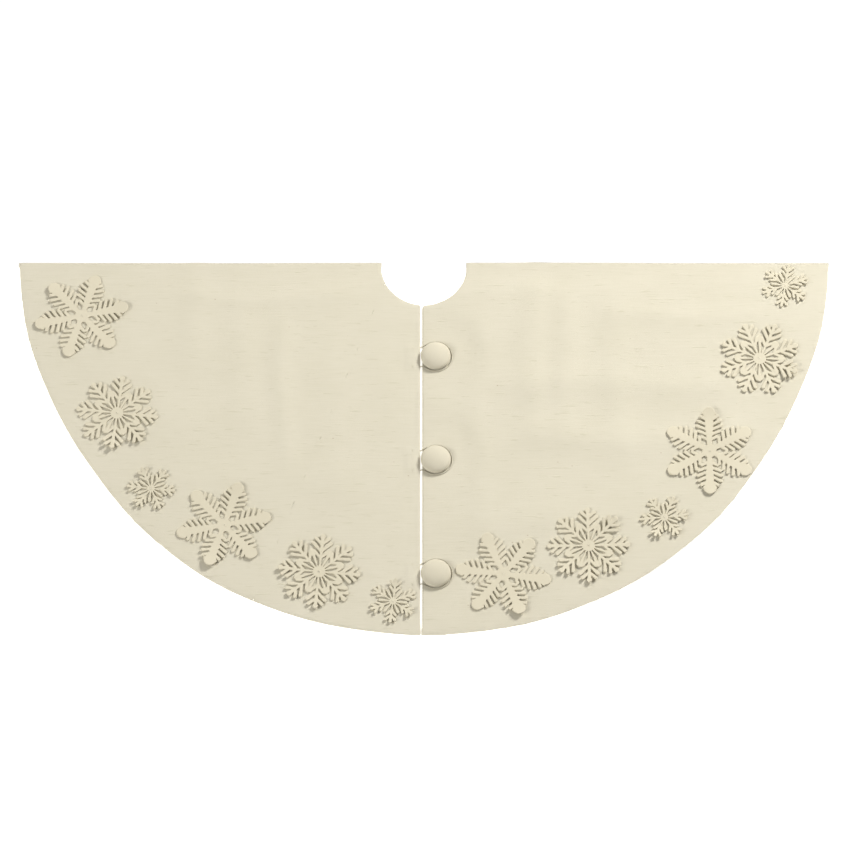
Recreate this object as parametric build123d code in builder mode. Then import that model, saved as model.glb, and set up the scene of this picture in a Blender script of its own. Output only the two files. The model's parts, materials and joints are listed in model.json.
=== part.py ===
from build123d import *
from math import acos, asin, atan2, cos, degrees, hypot, radians, sin, sqrt
import os

os.makedirs("parts", exist_ok=True)

# A round cloth tree skirt with a trunk hole, one straight slit, a ring of cut-out snowflakes near
# the hem, and three cloth-covered buttons that cord loops reach across the slit. Millimetres.
# The origin is on the floor at the middle of the trunk hole. +Z is up, the slit runs along -Y.

# Cloth
skirt_diameter = 1524.0
hole_diameter = 160.0
cloth_thickness = 3.0
slit_width = 4.5
slit_x = -5.0                  # the slit's centre line, a little left of the middle

# The front left flap folds back about a straight line from the hole's edge to the hem.
fold_start_angle = 205.0       # degrees round the hole where the fold line begins
fold_gap = 0.4                 # between the two cloth pieces along the fold

# Snowflakes: each repeat holds one large, one medium and one small.
pattern_repeats = 8
flake_thickness = 3.0
large_diameter = 178.0
medium_diameter = 154.0
small_diameter = 92.0
large_hem_margin = 19.5
medium_hem_margin = 29.0
small_hem_margin = 29.0
first_flake_clearance = 3.5    # from the last button's loop to the first flake
last_flake_clearance = 3.2     # from the slit's left edge to the last flake
# Hand placing: how far a flake sits from its even place, in gaps between flakes.
flake_nudges = {
    1: -0.94, 2: -1.1, 3: -1.37, 4: -0.68, 5: -0.47,
    17: -0.48, 18: -0.44, 19: 0.29, 20: 0.69, 21: 0.19, 22: 0.34,
}
# Hand placing: how much nearer the hole than its margin a flake sits.
flake_insets = {0: -2.5, 3: -3.0, 5: 8.5, 18: 4.5, 19: 7.0, 22: -6.5, 23: -9.0}
# Hand turning: the direction of one arm, in degrees. The others take the design's even turn.
flake_turns = {
    0: -8.0, 1: 1.0, 2: 6.0, 3: 30.0, 4: 21.0, 5: 20.0,
    18: 12.5, 19: -7.0, 20: 53.0, 21: 11.0, 22: -5.5, 23: 23.0,
}
even_turn = 9.0                # degrees added to each following flake's arms

# Stitches that tack each flake down at its middle
tack_length = 7.0
tack_width = 1.4
tack_height = 0.5

# Buttons
button_diameter = 56.0
button_dome_height = 14.0
button_rim_height = 1.8
button_lift = 1.2              # from the cloth to the button's underside
button_slit_overlap = 1.0      # how far a button reaches past the slit's centre line
first_button_inset = 108.0     # from the hole's edge to the first button's centre
last_button_inset = 125.0      # from the hem to the last button's centre
middle_button_nudge = 9.5      # the middle button sits this much nearer the hole than half way
cover_thickness = 0.8
cover_turnunder = 5.0
shell_thickness = 0.8
plate_thickness = 0.8
shank_diameter = 4.0
shank_clearance = 0.3          # between the thread shank and the parts that turn round it
knot_diameter = 9.0
knot_height = 2.0
backing_diameter = 18.0
backing_thickness = 1.2

# Loops
cord_diameter = 2.2
loop_clearance = 1.5           # between the loop and the button's edge
loop_lift = 0.3                # between the loop and the cloth under it
loop_spread = 40.0             # between the two ends of a loop at the slit
pivot_clearance = 0.3          # between a loop's end and its tail
patch_length = 47.0
patch_width = 18.0
patch_thickness = 1.2
patch_slit_inset = 8.0         # from the slit's edge to the patch
tail_hold = 12.0               # how far a tail runs into its patch
bar_tack_length = 6.0

# Shared
floor_recess = 0.2             # pieces under the cloth stay this far above the floor
pocket_clearance = 0.2         # round a piece in its pocket

# Worked out from the sizes above
skirt_radius = skirt_diameter / 2
hole_radius = hole_diameter / 2
slit_left = slit_x - slit_width / 2
slit_right = slit_x + slit_width / 2
cord_radius = cord_diameter / 2
button_radius = button_diameter / 2
button_x = slit_x + button_radius - button_slit_overlap
first_button_y = -(hole_radius + first_button_inset)
last_button_y = -(skirt_radius - last_button_inset)
middle_button_y = (first_button_y + last_button_y) / 2 + middle_button_nudge
button_ys = [first_button_y, middle_button_y, last_button_y]
loop_radius = button_radius + loop_clearance + cord_radius
loop_z = cloth_thickness + loop_lift + cord_radius
tail_z = floor_recess + cord_radius
patch_right = slit_left - patch_slit_inset
groove_width = cord_diameter + 2 * pocket_clearance
button_bottom = cloth_thickness + button_lift
rim_top = button_bottom + button_rim_height
plate_bottom = button_bottom + cover_thickness
plate_top = plate_bottom + plate_thickness
backing_top = floor_recess + backing_thickness
dome_radius = (button_radius**2 + button_dome_height**2) / (2 * button_dome_height)
dome_centre_z = rim_top + button_dome_height - dome_radius
# The back plate's edge stops where the inside of the shell curves in at the plate's top.
inner_dome_radius = dome_radius - cover_thickness - shell_thickness
plate_radius = min(
    button_radius - cover_thickness - shell_thickness,
    sqrt(inner_dome_radius**2 - (plate_top - dome_centre_z) ** 2),
)


def on_ring(radius, angle):
    """The point at an angle, in degrees, on a circle round the trunk hole."""
    return Vector(radius * cos(radians(angle)), radius * sin(radians(angle)))


# ---------------------------------------------------------------- where the snowflakes go
kinds = ["large", "medium", "small"]
flake_radius = {"large": large_diameter / 2, "medium": medium_diameter / 2, "small": small_diameter / 2}
hem_margin = {"large": large_hem_margin, "medium": medium_hem_margin, "small": small_hem_margin}
ring_radius = {kind: skirt_radius - hem_margin[kind] - flake_radius[kind] for kind in kinds}
half_angle = {kind: degrees(asin(flake_radius[kind] / ring_radius[kind])) for kind in kinds}
flake_kinds = kinds * pattern_repeats

# The first flake clears the last button's loop, and the last one clears the slit.
button_reach = hypot(button_x, last_button_y)
button_angle = degrees(atan2(last_button_y, button_x))
first_reach = ring_radius["large"]
first_distance = flake_radius["large"] + loop_radius + cord_radius + first_flake_clearance
first_angle = button_angle + degrees(
    acos((first_reach**2 + button_reach**2 - first_distance**2) / (2 * first_reach * button_reach))
)
last_offset = last_flake_clearance + flake_radius["small"] - slit_left
last_angle = 270.0 - degrees(asin(last_offset / ring_radius["small"]))

# Equal gaps between flakes, then the hand nudges.
span = last_angle - first_angle
widths = [half_angle[a] + half_angle[b] for a, b in zip(flake_kinds, flake_kinds[1:])]
gap_angle = (span - sum(widths)) / len(widths)
even_angles = [first_angle]
for width in widths:
    even_angles.append(even_angles[-1] + width + gap_angle)
flake_angles = [angle + flake_nudges.get(i, 0) * gap_angle for i, angle in enumerate(even_angles)]
flake_reaches = [ring_radius[kind] - flake_insets.get(i, 0) for i, kind in enumerate(flake_kinds)]
flake_centres = [on_ring(reach, angle) for reach, angle in zip(flake_reaches, flake_angles)]

# The fold line passes through the middle of the gap in front of the last two flakes.
first_flap_flake = len(flake_kinds) - 2
inner_centre = flake_centres[first_flap_flake]
outer_centre = flake_centres[first_flap_flake - 1]
between = inner_centre - outer_centre
outer_radius = flake_radius[flake_kinds[first_flap_flake - 1]]
inner_radius = flake_radius[flake_kinds[first_flap_flake]]
fold_gap_share = (outer_radius + (between.length - outer_radius - inner_radius) / 2) / between.length
fold_point = outer_centre + between * fold_gap_share
fold_start = on_ring(hole_radius, fold_start_angle)
fold_direction = (fold_point - fold_start).normalized()
fold_normal = Vector(-fold_direction.Y, fold_direction.X)     # points into the flap


# ---------------------------------------------------------------- outlines
def wedge(fold_shift, slit_side):
    """The flap's corner of the skirt, with its fold side shifted and its slit side at slit_side."""
    inner = fold_start - fold_direction * hole_radius / 4 + fold_normal * fold_shift
    outer = fold_start + fold_direction * skirt_diameter + fold_normal * fold_shift
    with BuildSketch() as corner:
        with BuildLine():
            Polyline(
                (inner.X, inner.Y),
                (outer.X, outer.Y),
                (slit_side, -skirt_diameter),
                (slit_side, -hole_radius / 2),
                close=True,
            )
        make_face()
    return corner.sketch


def feather(radius, rib_width, tip_radius, barb_width, barb_angle, barbs):
    """One arm along +X: a rib with a round tip, and pairs of slanted barbs.

    The sizes are shares of the flake's radius. barbs is a list of (place along the rib, length).
    """
    tip_x = radius * (1 - tip_radius)
    with BuildSketch() as arm:
        with Locations((tip_x / 2, 0)):
            Rectangle(tip_x, radius * rib_width)
        with Locations((tip_x, 0)):
            Circle(radius * tip_radius)
        for place, length in barbs:
            for side in (1, -1):
                reach = radius * length / 2
                slant = radians(side * barb_angle)
                middle = (radius * place + reach * cos(slant), reach * sin(slant))
                with Locations(middle):
                    SlotCenterToCenter(radius * length, radius * barb_width, rotation=side * barb_angle)
    return arm.sketch


def flake_outline(radius, hub, arms, arm, spoke_reach, spoke_width):
    """A whole snowflake: a round hub, the arms, and a plain spoke between each two arms."""
    with BuildSketch() as outline:
        Circle(radius * hub)
        with PolarLocations(0, arms):
            add(arm)
        with PolarLocations(radius * spoke_reach / 2, arms, start_angle=180 / arms):
            SlotOverall(radius * spoke_reach, radius * spoke_width)
    return outline.sketch


large_arm = feather(
    flake_radius["large"], rib_width=0.13, tip_radius=0.12, barb_width=0.1, barb_angle=48,
    barbs=[(0.26, 0.2), (0.41, 0.26), (0.56, 0.26), (0.71, 0.18)],
)
medium_arm = feather(
    flake_radius["medium"], rib_width=0.09, tip_radius=0.07, barb_width=0.075, barb_angle=42,
    barbs=[(0.34, 0.18), (0.55, 0.2), (0.77, 0.13)],
)
small_arm = feather(
    flake_radius["small"], rib_width=0.11, tip_radius=0.08, barb_width=0.1, barb_angle=40,
    barbs=[(0.4, 0.25), (0.66, 0.2)],
)
outlines = {
    "large": flake_outline(flake_radius["large"], 0.24, 6, large_arm, 0.42, 0.1),
    "medium": flake_outline(flake_radius["medium"], 0.26, 8, medium_arm, 0.38, 0.06),
    "small": flake_outline(flake_radius["small"], 0.26, 6, small_arm, 0.55, 0.09),
}

# ---------------------------------------------------------------- cloth
with BuildPart() as skirt_cloth:
    with BuildSketch():
        Circle(skirt_radius)
        Circle(hole_radius, mode=Mode.SUBTRACT)
        add(wedge(-fold_gap / 2, slit_right), mode=Mode.SUBTRACT)
    extrude(amount=cloth_thickness)
    # Under each button: a pocket for the backing disc and a hole for the thread
    with BuildSketch():
        for button_y in button_ys:
            with Locations((button_x, button_y)):
                Circle(backing_diameter / 2 + pocket_clearance)
    extrude(amount=backing_top, mode=Mode.SUBTRACT)
    with BuildSketch():
        for button_y in button_ys:
            with Locations((button_x, button_y)):
                Circle(shank_diameter / 2)
    extrude(amount=cloth_thickness, mode=Mode.SUBTRACT)
skirt_cloth.part.label = "skirt_cloth"
export_step(skirt_cloth.part, "parts/skirt_cloth.step")

with BuildPart() as front_left_flap:
    with BuildSketch():
        Circle(skirt_radius)
        Circle(hole_radius, mode=Mode.SUBTRACT)
        add(wedge(fold_gap / 2, slit_left), mode=Mode.INTERSECT)
    extrude(amount=cloth_thickness)
    # Beside each button: a pocket for the patch, and a groove for each tail of the loop
    with BuildSketch():
        for button_y in button_ys:
            with Locations((patch_right - patch_width / 2, button_y)):
                Rectangle(patch_width + 2 * pocket_clearance, patch_length + 2 * pocket_clearance)
    extrude(amount=floor_recess + patch_thickness, mode=Mode.SUBTRACT)
    with BuildSketch():
        for button_y in button_ys:
            groove_length = patch_slit_inset + tail_hold
            with Locations((slit_left - groove_length / 2, button_y)):
                with GridLocations(0, loop_spread, 1, 2):
                    Rectangle(groove_length, groove_width)
    extrude(amount=floor_recess + cord_diameter, mode=Mode.SUBTRACT)
front_left_flap.part.label = "front_left_flap"
export_step(front_left_flap.part, "parts/front_left_flap.step")

# ---------------------------------------------------------------- snowflakes and their stitches
flake_bottom = cloth_thickness
flake_top = cloth_thickness + flake_thickness
for i, (kind, centre) in enumerate(zip(flake_kinds, flake_centres)):
    turn = flake_turns.get(i, flake_angles[i] + even_turn * i)
    name = f"{kind}_snowflake_{i // len(kinds) + 1}"
    flake_plane = Plane(
        origin=(centre.X, centre.Y, flake_bottom),
        x_dir=(cos(radians(turn)), sin(radians(turn)), 0),
        z_dir=(0, 0, 1),
    )
    with BuildPart() as snowflake:
        with BuildSketch(flake_plane):
            add(outlines[kind])
        extrude(amount=flake_thickness)
    snowflake.part.label = name
    export_step(snowflake.part, f"parts/{name}.step")

for name, centres in (
    ("skirt_tack_stitches", flake_centres[:first_flap_flake]),
    ("flap_tack_stitches", flake_centres[first_flap_flake:]),
):
    with BuildPart() as tack_stitches:
        with BuildSketch(Plane.XY.offset(flake_top)):
            for centre in centres:
                with Locations((centre.X, centre.Y)):
                    Rectangle(tack_length, tack_width)
                    Rectangle(tack_width, tack_length)
        extrude(amount=tack_height)
    tack_stitches.part.label = name
    export_step(tack_stitches.part, f"parts/{name}.step")


# ---------------------------------------------------------------- buttons
def dome_face(plane, inset, wall, bottom):
    """Half the section of one layer of the button, whose outside lies inset from the cover's."""
    outer_x = button_radius - inset
    inner_x = outer_x - wall
    outer_dome = dome_radius - inset
    inner_dome = outer_dome - wall
    outer_z = dome_centre_z + sqrt(outer_dome**2 - outer_x**2)
    inner_z = dome_centre_z + sqrt(inner_dome**2 - inner_x**2)
    with BuildSketch(plane) as section:
        with BuildLine():
            Line((outer_x, bottom), (outer_x, outer_z))
            RadiusArc((outer_x, outer_z), (0, dome_centre_z + outer_dome), -outer_dome)
            Line((0, dome_centre_z + outer_dome), (0, dome_centre_z + inner_dome))
            RadiusArc((0, dome_centre_z + inner_dome), (inner_x, inner_z), inner_dome)
            Line((inner_x, inner_z), (inner_x, bottom))
            Line((inner_x, bottom), (outer_x, bottom))
        make_face()
    return section.sketch


for number, button_y in enumerate(button_ys, start=1):
    button_axis = Axis((button_x, button_y, 0), (0, 0, 1))
    section_plane = Plane(origin=(button_x, button_y, 0), x_dir=(1, 0, 0), z_dir=(0, -1, 0))
    at_button = Plane(origin=(button_x, button_y, 0))
    cover_section = dome_face(section_plane, 0, cover_thickness, button_bottom)
    shell_section = dome_face(section_plane, cover_thickness, shell_thickness, plate_bottom)

    with BuildPart() as button_cover:
        add(cover_section)
        revolve(axis=button_axis)
        with BuildSketch(at_button.offset(button_bottom)):
            Circle(button_radius)
            Circle(button_radius - cover_turnunder, mode=Mode.SUBTRACT)
        extrude(amount=cover_thickness)
    button_cover.part.label = f"button_{number}_cover"
    export_step(button_cover.part, f"parts/button_{number}_cover.step")

    with BuildPart() as button_shell:
        add(shell_section)
        revolve(axis=button_axis)
    button_shell.part.label = f"button_{number}_shell"
    export_step(button_shell.part, f"parts/button_{number}_shell.step")

    with BuildPart() as button_plate:
        with BuildSketch(at_button.offset(plate_bottom)):
            Circle(plate_radius)
            Circle(shank_diameter / 2 + shank_clearance, mode=Mode.SUBTRACT)
        extrude(amount=plate_thickness)
    button_plate.part.label = f"button_{number}_back_plate"
    export_step(button_plate.part, f"parts/button_{number}_back_plate.step")

    knot_bottom = plate_top + shank_clearance
    with BuildPart() as thread_shank:
        with BuildSketch(at_button.offset(backing_top)):
            Circle(shank_diameter / 2)
        extrude(amount=knot_bottom - backing_top)
        with BuildSketch(at_button.offset(knot_bottom)):
            Circle(knot_diameter / 2)
        extrude(amount=knot_height)
    thread_shank.part.label = f"button_{number}_thread_shank"
    export_step(thread_shank.part, f"parts/button_{number}_thread_shank.step")

    with BuildPart() as backing_disc:
        with BuildSketch(at_button.offset(floor_recess)):
            Circle(backing_diameter / 2)
        extrude(amount=backing_thickness)
    backing_disc.part.label = f"button_{number}_backing_disc"
    export_step(backing_disc.part, f"parts/button_{number}_backing_disc.step")

# ---------------------------------------------------------------- loops
# Seen from above, a loop runs straight from the slit until it meets the circle round the button.
half_spread = loop_spread / 2
end_offset = slit_x - button_x
end_distance = hypot(end_offset, half_spread)
meet_angle = degrees(atan2(half_spread, end_offset)) - degrees(acos(loop_radius / end_distance))
meet_x = loop_radius * cos(radians(meet_angle))
meet_y = loop_radius * sin(radians(meet_angle))

for number, button_y in enumerate(button_ys, start=1):
    at_loop = Plane(origin=(button_x, button_y, loop_z))
    with BuildPart() as loop:
        with BuildLine(at_loop) as loop_path:
            Line((end_offset, half_spread), (meet_x, meet_y))
            CenterArc((0, 0), loop_radius, meet_angle, -2 * meet_angle)
            Line((meet_x, -meet_y), (end_offset, -half_spread))
        with BuildSketch(Plane(origin=loop_path.line @ 0, z_dir=loop_path.line % 0)):
            Circle(cord_radius)
        sweep(path=loop_path.line)
        with Locations(
            (slit_x, button_y + half_spread, loop_z),
            (slit_x, button_y - half_spread, loop_z),
        ):
            Sphere(cord_radius)
    loop.part.label = f"loop_{number}_cord"
    export_step(loop.part, f"parts/loop_{number}_cord.step")

    tail_top = loop_z - cord_radius - pivot_clearance
    tail_end = patch_right - tail_hold
    with BuildPart() as tails:
        for side in (1, -1):
            tail_y = button_y + side * half_spread
            with BuildSketch(Plane(origin=(tail_end, tail_y, tail_z), z_dir=(1, 0, 0))):
                Circle(cord_radius)
            extrude(amount=slit_x - tail_end)
            with Locations((slit_x, tail_y, tail_z)):
                Sphere(cord_radius)
            with BuildSketch(Plane(origin=(slit_x, tail_y, tail_z))):
                Circle(cord_radius)
            extrude(amount=tail_top - tail_z)
    tails.part.label = f"loop_{number}_tails"
    export_step(tails.part, f"parts/loop_{number}_tails.step")

    patch_middle = patch_right - patch_width / 2
    with BuildPart() as patch:
        with BuildSketch(Plane(origin=(patch_middle, button_y, floor_recess))):
            Rectangle(patch_width, patch_length)
            with Locations((patch_width / 2 - tail_hold / 2, 0)):
                with GridLocations(0, loop_spread, 1, 2):
                    Rectangle(tail_hold, groove_width, mode=Mode.SUBTRACT)
        extrude(amount=patch_thickness)
    patch.part.label = f"loop_{number}_anchor_patch"
    export_step(patch.part, f"parts/loop_{number}_anchor_patch.step")

    with BuildPart() as bar_tacks:
        with BuildSketch(Plane(origin=(patch_right - tail_hold / 2, button_y, cloth_thickness))):
            with GridLocations(0, loop_spread, 1, 2):
                Rectangle(tack_width, bar_tack_length)
        extrude(amount=tack_height)
    bar_tacks.part.label = f"loop_{number}_bar_tacks"
    export_step(bar_tacks.part, f"parts/loop_{number}_bar_tacks.step")

# ---------------------------------------------------------------- what the joints turn about
print(f"fold line through ({fold_start.X:.3f}, {fold_start.Y:.3f}, {cloth_thickness:.1f})")
print(f"fold axis ({fold_direction.X:.6f}, {fold_direction.Y:.6f}, 0)")
for number, button_y in enumerate(button_ys, start=1):
    print(f"loop {number} axis (0, -1, 0) through ({slit_x:.3f}, {button_y:.3f}, {loop_z:.3f})")
    print(f"button {number} axis (0, 0, 1) through ({button_x:.3f}, {button_y:.3f})")
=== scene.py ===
import json
import logging
import math
from collections.abc import Callable
from dataclasses import dataclass, field
from enum import Enum

import bpy
import numpy as np
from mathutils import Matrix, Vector

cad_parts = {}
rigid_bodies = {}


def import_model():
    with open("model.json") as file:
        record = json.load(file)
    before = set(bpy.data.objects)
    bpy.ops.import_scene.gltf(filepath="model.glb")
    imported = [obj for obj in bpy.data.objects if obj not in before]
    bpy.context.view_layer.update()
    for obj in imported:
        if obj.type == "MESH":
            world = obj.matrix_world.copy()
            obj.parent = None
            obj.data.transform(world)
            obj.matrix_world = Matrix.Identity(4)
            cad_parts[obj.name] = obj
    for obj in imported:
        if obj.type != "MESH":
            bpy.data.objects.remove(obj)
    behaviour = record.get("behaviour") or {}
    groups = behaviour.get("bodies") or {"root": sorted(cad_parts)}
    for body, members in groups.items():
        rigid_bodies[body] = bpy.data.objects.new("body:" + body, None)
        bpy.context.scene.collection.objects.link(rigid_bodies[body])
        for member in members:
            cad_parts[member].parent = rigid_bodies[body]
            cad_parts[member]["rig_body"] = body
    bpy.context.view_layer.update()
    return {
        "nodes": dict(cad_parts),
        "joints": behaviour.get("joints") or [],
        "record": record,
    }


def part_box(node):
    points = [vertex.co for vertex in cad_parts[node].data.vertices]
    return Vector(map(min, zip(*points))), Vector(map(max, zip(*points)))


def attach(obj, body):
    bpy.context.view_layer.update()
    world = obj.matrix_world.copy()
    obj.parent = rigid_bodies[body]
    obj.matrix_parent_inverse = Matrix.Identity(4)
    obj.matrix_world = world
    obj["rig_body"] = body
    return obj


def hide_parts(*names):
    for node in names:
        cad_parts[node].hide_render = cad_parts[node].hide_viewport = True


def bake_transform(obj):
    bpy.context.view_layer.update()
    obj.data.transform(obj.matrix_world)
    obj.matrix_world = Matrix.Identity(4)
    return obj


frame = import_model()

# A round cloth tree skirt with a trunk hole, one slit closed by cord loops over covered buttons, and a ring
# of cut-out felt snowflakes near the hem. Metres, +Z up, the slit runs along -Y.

log = logging.getLogger("tree_skirt")
MM = 0.001
Array = np.ndarray
Outline = Callable[[Array, Array], Array]
Socket = bpy.types.NodeSocket


# ------------------------------------------------------------------------------------ small helpers
def hex_linear(code: str) -> tuple[float, float, float, float]:
    """Turn an sRGB hex colour into the linear colour that a socket takes.

    Args:
        code: Six hex digits after a #.

    Returns:
        Linear red, green, blue and an alpha of 1.
    """
    parts = [int(code[i:i + 2], 16) / 255 for i in (1, 3, 5)]
    linear = [c / 12.92 if c <= 0.04045 else ((c + 0.055) / 1.055) ** 2.4 for c in parts]
    return (linear[0], linear[1], linear[2], 1.0)


def add_node(tree: bpy.types.NodeTree, kind: str, settings: dict | None = None,
             inputs: dict | None = None) -> bpy.types.Node:
    """Add a node with its settings, and fill or link its inputs.

    Args:
        tree: The node tree.
        kind: The node's type name.
        settings: Property names and values.
        inputs: Input names or numbers, each with a value or a socket to link from.

    Returns:
        The new node.
    """
    node = tree.nodes.new(kind)
    for name, value in (settings or {}).items():
        setattr(node, name, value)
    for key, value in (inputs or {}).items():
        if isinstance(value, bpy.types.NodeSocket):
            tree.links.new(value, node.inputs[key])
        else:
            node.inputs[key].default_value = value
    return node


def new_material(name: str) -> tuple[bpy.types.Material, bpy.types.NodeTree, bpy.types.NodeSocket]:
    """Start a material with an empty tree.

    Args:
        name: The material's name.

    Returns:
        The material, its tree and its Object coordinates, in metres.
    """
    material = bpy.data.materials.new(name)
    material.use_nodes = True
    tree = material.node_tree
    tree.nodes.clear()
    return material, tree, add_node(tree, "ShaderNodeTexCoord").outputs["Object"]


def smooth(t: Array | float) -> Array | float:
    """A soft step from 0 to 1 for t from 0 to 1."""
    t = np.clip(t, 0, 1)
    return t * t * (3 - 2 * t)


def mesh_object(name: str, vertices: Array, faces: list, material: bpy.types.Material,
                sharp_degrees: float = 40) -> bpy.types.Object:
    """Make a smooth-shaded mesh object at the origin.

    Args:
        name: The piece's name.
        vertices: Points, in metres.
        faces: Lists of vertex numbers.
        material: Its material.
        sharp_degrees: Edges that turn by more than this stay sharp.

    Returns:
        The linked object.
    """
    mesh = bpy.data.meshes.new(name)
    mesh.from_pydata([tuple(map(float, v)) for v in vertices], [], faces)
    mesh.validate()
    mesh.update()
    mesh.polygons.foreach_set("use_smooth", [True] * len(mesh.polygons))
    mesh.set_sharp_from_angle(angle=math.radians(sharp_degrees))
    mesh.materials.append(material)
    piece = bpy.data.objects.new(name, mesh)
    bpy.context.scene.collection.objects.link(piece)
    return piece


def dress(node: str, material: bpy.types.Material) -> None:
    """Give a carried-over CAD node its material.

    Args:
        node: The node's name.
        material: Its finish.
    """
    piece = frame["nodes"][node]
    piece.data.materials.clear()
    piece.data.materials.append(material)


def joint_place(name: str) -> Vector:
    """Where a joint of the CAD model turns."""
    return Vector(next(j["pos_m"] for j in frame["joints"] if j["name"] == name))


# ------------------------------------------------------------------------------------ finishes
class Grain(Enum):
    """How a cloth's colour and surface vary."""

    SLUBS = "uneven weft threads that run from side to side"
    FELT = "fibres matted every way"
    WEAVE = "even plain weave"


@dataclass(frozen=True)
class ClothFinish:
    """A matt cream cloth. The threads or fibres scatter light, with a little sheen at grazing angles.

    Cotton and wool fibres have an IOR of about 1.5 and no clear gloss, so roughness is high.
    """

    name: str
    grain: Grain
    light: str
    dark: str
    roughness: float = 0.92
    sheen: float = 0.15
    sheen_roughness: float = 0.5
    specular: float = 0.2
    thread: float = 1.6 * MM
    bump: float = 0.35
    bump_depth: float = 0.5 * MM
    contrast: float = 0.5
    flecks: bool = False

    def build(self) -> bpy.types.Material:
        """Build the node material.

        Returns:
            The cloth.
        """
        material, tree, place = new_material(self.name)
        tone, height = self._grain(tree, place)
        cloud = add_node(tree, "ShaderNodeTexNoise", None,
                         {"Vector": place, "Scale": 9.0, "Detail": 3.0, "Roughness": 0.55})
        cloud_tone = add_node(tree, "ShaderNodeMapRange", None,
                              {"Value": cloud.outputs["Fac"], "From Min": 0.3, "From Max": 0.7,
                               "To Min": 0.35, "To Max": 0.65})
        blend = add_node(tree, "ShaderNodeMix", {"data_type": "FLOAT"},
                         {"Factor": self.contrast, "A": cloud_tone.outputs["Result"], "B": tone})
        colour = add_node(tree, "ShaderNodeMix", {"data_type": "RGBA"},
                          {"Factor": blend.outputs[0], 6: hex_linear(self.dark),
                           7: hex_linear(self.light)}).outputs[2]
        if self.flecks:
            colour = self._flecks(tree, place, colour)
        bump = add_node(tree, "ShaderNodeBump", None,
                        {"Strength": self.bump, "Distance": self.bump_depth, "Height": height})
        shader = add_node(tree, "ShaderNodeBsdfPrincipled", None,
                          {"Base Color": colour, "Roughness": self.roughness, "IOR": 1.5,
                           "Specular IOR Level": self.specular, "Sheen Weight": self.sheen,
                           "Sheen Roughness": self.sheen_roughness,
                           "Sheen Tint": hex_linear("#FFFBEF"), "Normal": bump.outputs["Normal"]})
        add_node(tree, "ShaderNodeOutputMaterial", None, {"Surface": shader.outputs["BSDF"]})
        return material

    def _grain(self, tree: bpy.types.NodeTree, place: bpy.types.NodeSocket) -> tuple[Socket, Socket]:
        """Add the pattern of threads or fibres.

        Args:
            tree: The material's tree.
            place: Object coordinates, in metres.

        Returns:
            The colour tone, with painted shade along any slubs, and the surface height, both about 0 to 1.
        """
        if self.grain is Grain.FELT:
            fibres = add_node(tree, "ShaderNodeTexNoise", None,
                              {"Vector": place, "Scale": 0.5 / self.thread, "Detail": 5.0,
                               "Roughness": 0.7, "Distortion": 1.2})
            return fibres.outputs["Fac"], fibres.outputs["Fac"]
        # Threads are drawn coarser than the real 0.5 mm so that they show. A Wave Texture's bands are
        # 0.314 / Scale apart.
        across, along = (add_node(tree, "ShaderNodeTexWave", {"wave_type": "BANDS", "bands_direction": way},
                                  {"Vector": place, "Scale": 0.314 / self.thread, "Distortion": 1.5,
                                   "Detail": 2.0, "Detail Scale": 0.6}).outputs["Fac"] for way in "XY")
        weave = add_node(tree, "ShaderNodeMath", {"operation": "MAXIMUM"}, {0: across, 1: along}).outputs[0]
        if self.grain is Grain.WEAVE:
            return weave, weave
        # Uneven weft: faint streaks from side to side, and here and there a slub, which is a thick stretch of
        # thread some 30 mm long and 2 mm high. Each slub is raised in the height and is also painted darker
        # in the colour, as painted shade along the raised thread.
        streaks = self._stretched_noise(tree, place, (22.0, 420.0, 420.0), 0.0)
        slubs = self._stretched_noise(tree, place, (30.0, 330.0, 330.0), 5.3)
        slub = add_node(tree, "ShaderNodeMapRange", {"interpolation_type": "SMOOTHSTEP"},
                        {"Value": slubs, "From Min": 0.64, "From Max": 0.72}).outputs["Result"]
        tone = add_node(tree, "ShaderNodeMapRange", None,
                        {"Value": streaks, "From Min": 0.25, "From Max": 0.75, "To Min": 0.25,
                         "To Max": 0.8}).outputs["Result"]
        # Painted shade: each slub lowers the colour tone, standing in for the shade along the raised thread.
        tone_with_painted_slub_shade = add_node(tree, "ShaderNodeMath", {"operation": "MULTIPLY_ADD"},
                          {0: slub, 1: -0.9, 2: tone}).outputs[0]
        woven = add_node(tree, "ShaderNodeMath", {"operation": "MULTIPLY_ADD"},
                         {0: streaks, 1: 0.7, 2: weave}).outputs[0]
        height = add_node(tree, "ShaderNodeMath", {"operation": "MULTIPLY_ADD"},
                          {0: slub, 1: 1.6, 2: woven}).outputs[0]
        return tone_with_painted_slub_shade, height

    def _stretched_noise(self, tree: bpy.types.NodeTree, place: bpy.types.NodeSocket,
                         scale: tuple[float, float, float], shift: float) -> bpy.types.NodeSocket:
        """Noise drawn out along the weft.

        Args:
            tree: The material's tree.
            place: Object coordinates, in metres.
            scale: Features per metre each way.
            shift: Moves the pattern, so that two of them differ.

        Returns:
            The noise, about 0 to 1.
        """
        drawn = add_node(tree, "ShaderNodeMapping", None,
                         {"Vector": place, "Scale": scale, "Location": (shift, shift * 1.7, 0.0)})
        noise = add_node(tree, "ShaderNodeTexNoise", None,
                         {"Vector": drawn.outputs["Vector"], "Scale": 1.0, "Detail": 2.0,
                          "Roughness": 0.5})
        return noise.outputs["Fac"]

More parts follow.
